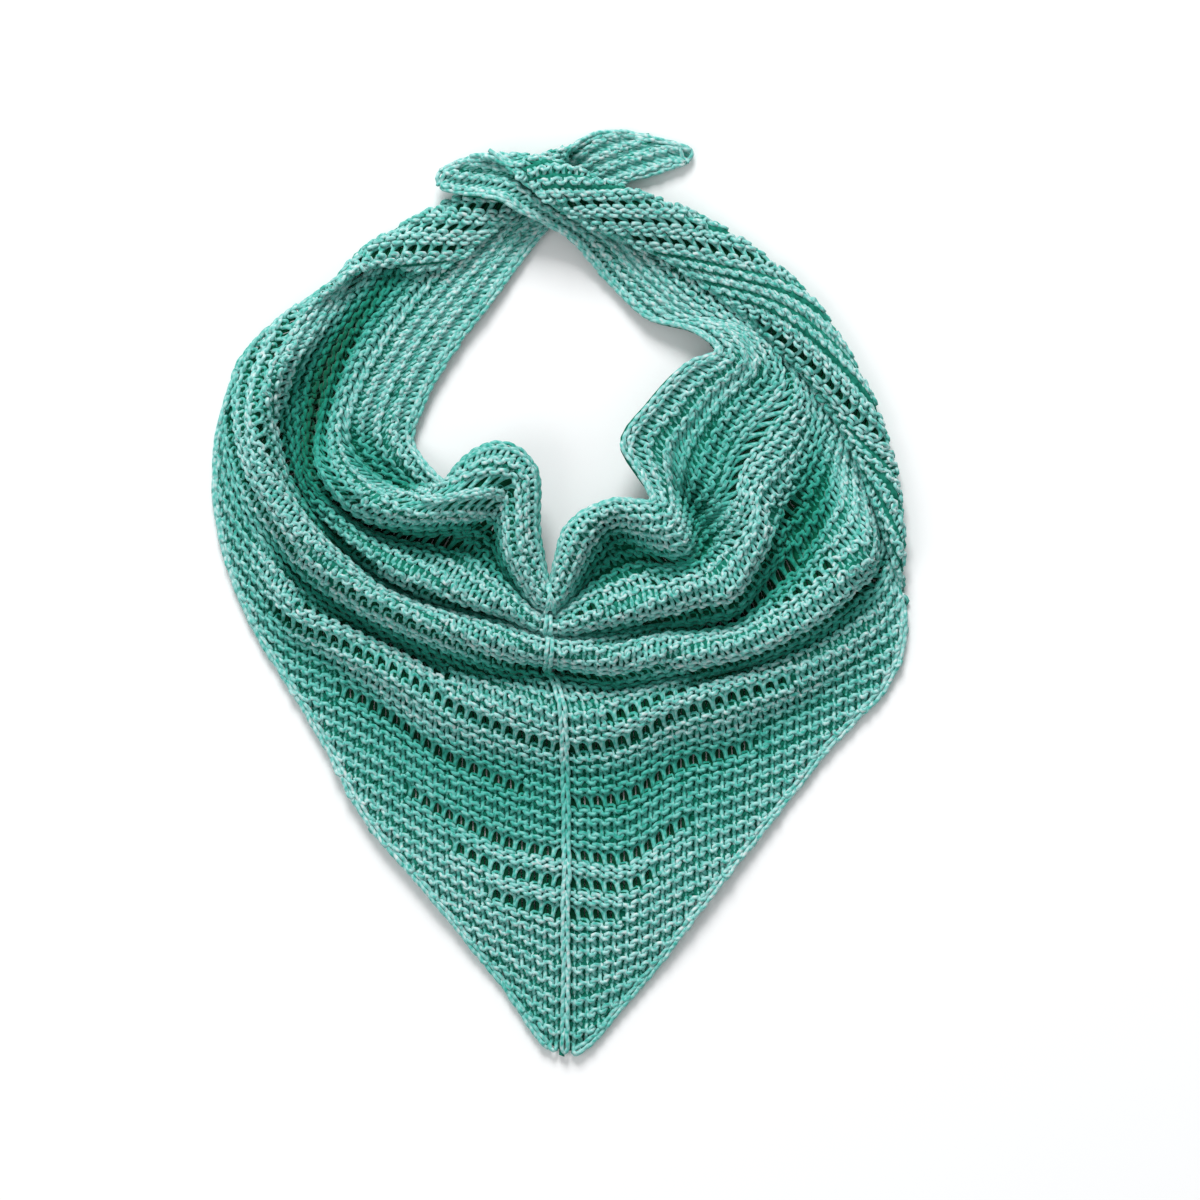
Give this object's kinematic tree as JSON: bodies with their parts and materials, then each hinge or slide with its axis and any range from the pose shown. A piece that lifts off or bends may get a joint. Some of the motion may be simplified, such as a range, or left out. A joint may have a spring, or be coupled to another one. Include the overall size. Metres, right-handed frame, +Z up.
{
  "type": "knitted shawl",
  "caption": "Triangular hand-knitted shawl with open rows and a chain down its centre, laid flat in a worn ring with its ends crossed.",
  "frame": {"origin": "middle of the shawl's outline, on the table that it lies on", "axes": "+Z up from the table, +Y from the lower tip towards the crossed ends, +X to the right seen from above"},
  "size_m": [0.3452, 0.461, 0.0316],
  "materials": {
    "garter_knit": "matt two-ply cotton yarn in a mottled sea green, garter stitch",
    "spine_chain": "matt two-ply cotton yarn in a mottled sea green, one raised chain",
    "bound_edge": "matt two-ply cotton yarn in a mottled sea green, bound-off edge"
  },
  "bodies": {
    "root": {"left_half": "garter_knit", "right_half": "garter_knit", "centre_spine": "spine_chain", "left_neck_border": "bound_edge", "right_neck_border": "bound_edge"}
  },
  "joints": []
}
